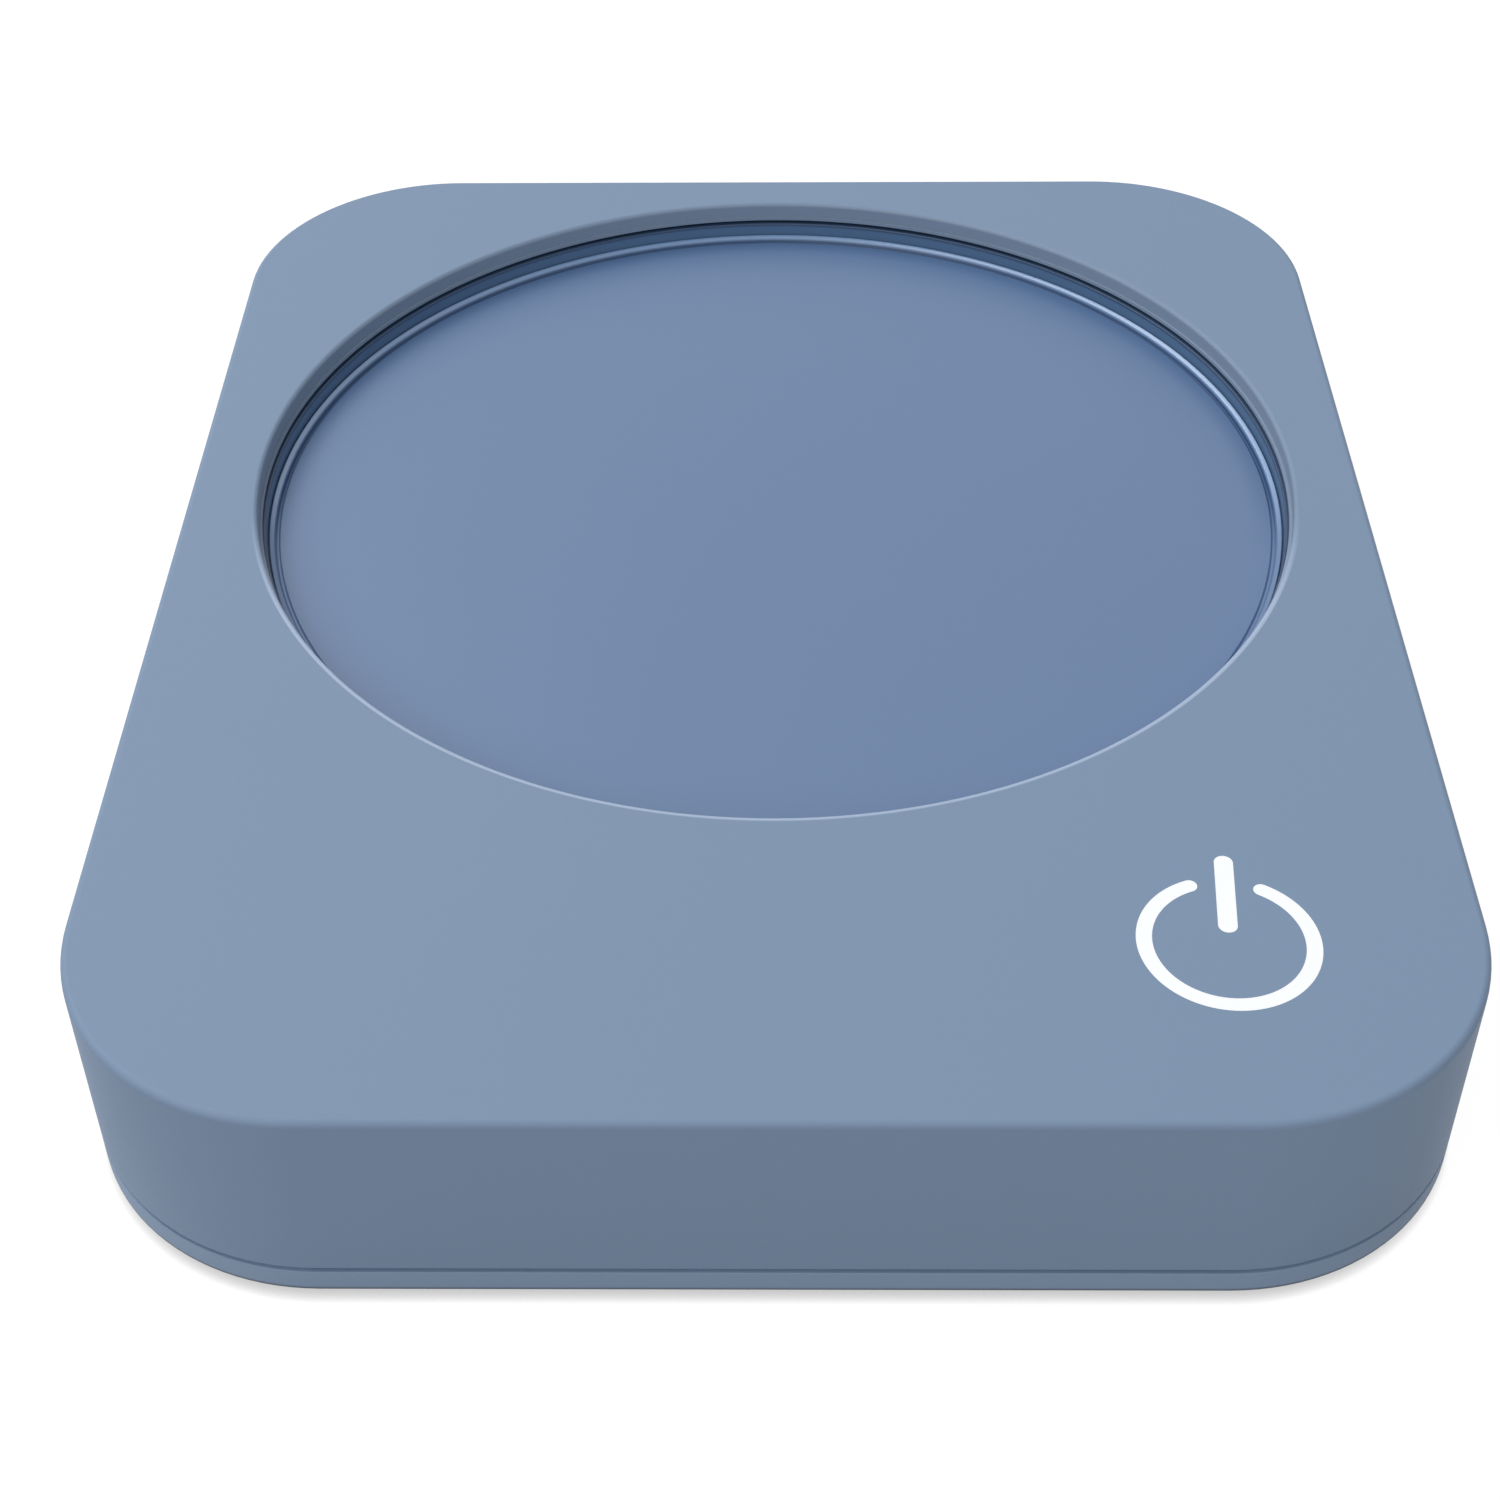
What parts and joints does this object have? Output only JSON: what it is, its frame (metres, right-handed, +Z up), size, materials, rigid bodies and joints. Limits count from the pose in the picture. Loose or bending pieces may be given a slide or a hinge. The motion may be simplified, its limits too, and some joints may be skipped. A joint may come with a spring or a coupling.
{
  "type": "electric mug warmer",
  "caption": "Low rounded box with a round recessed heating plate towards the back, a lit touch power symbol at the front right and a small power inlet at the back.",
  "frame": {"origin": "on the table, under the middle of the housing, level with the underside of the rubber feet", "axes": "+Z up, -Y towards the user and the power symbol, +X to the user's right"},
  "size_m": [0.106, 0.13, 0.02],
  "materials": {
    "housing": "fine matte slate blue moulding",
    "foot_rubber": "matte",
    "steel": "zinc plated",
    "light_guide": "white translucent",
    "led": "white package",
    "spring_steel": "drawn wire",
    "ring_plastic": "satin dark slate blue",
    "plate_coating": "smooth satin slate blue coating",
    "polyimide_film": "amber film",
    "copper": "etched foil",
    "insulation": "ceramic fibre felt",
    "carrier_plastic": "heat resistant, matte",
    "black_plastic": "moulded",
    "switch_plastic": "moulded",
    "tinned_metal": "tinned sheet",
    "wire_insulation": "silicone sleeve",
    "board_laminate": "green solder mask"
  },
  "bodies": {
    "housing": {"top_cover": "housing", "base_cover": "housing", "rubber_feet": "foot_rubber", "cover_screws": "steel", "power_light_guide": "light_guide", "status_led": "led", "touch_spring": "spring_steel", "control_board": "board_laminate", "board_screws": "steel", "controller_chip": "black_plastic", "power_mosfet": "black_plastic", "capacitors": "tinned_metal", "chip_resistors": "black_plastic", "mug_switch": "black_plastic", "inlet_board": "board_laminate", "inlet_shell": "tinned_metal", "inlet_tongue": "black_plastic", "supply_leads": "wire_insulation"},
    "tray": {"tray_ring": "ring_plastic", "heating_plate": "plate_coating", "heating_film": "polyimide_film", "heating_track": "copper", "insulation_pad": "insulation", "tray_carrier": "carrier_plastic", "tray_screws": "steel", "return_springs": "spring_steel", "thermistor": "black_plastic", "thermal_fuse": "tinned_metal", "tray_leads": "wire_insulation"},
    "switch_plunger": {"mug_switch_plunger": "switch_plastic"}
  },
  "joints": [
    {"name": "tray_press", "type": "slide", "parent": "housing", "child": "tray", "axis": [0, 0, -1], "range_m": [0, 0.0008], "stiffness_N_per_m": 1500, "springref_m": -0.0012, "deforming": ["return_springs", "tray_leads"]},
    {"name": "plunger_press", "type": "slide", "parent": "housing", "child": "switch_plunger", "axis": [0, 0, -1], "range_m": [0, 0.0008]}
  ],
  "couplings": [
    {"joint": "plunger_press", "follows": "tray_press", "ratio": 1}
  ]
}
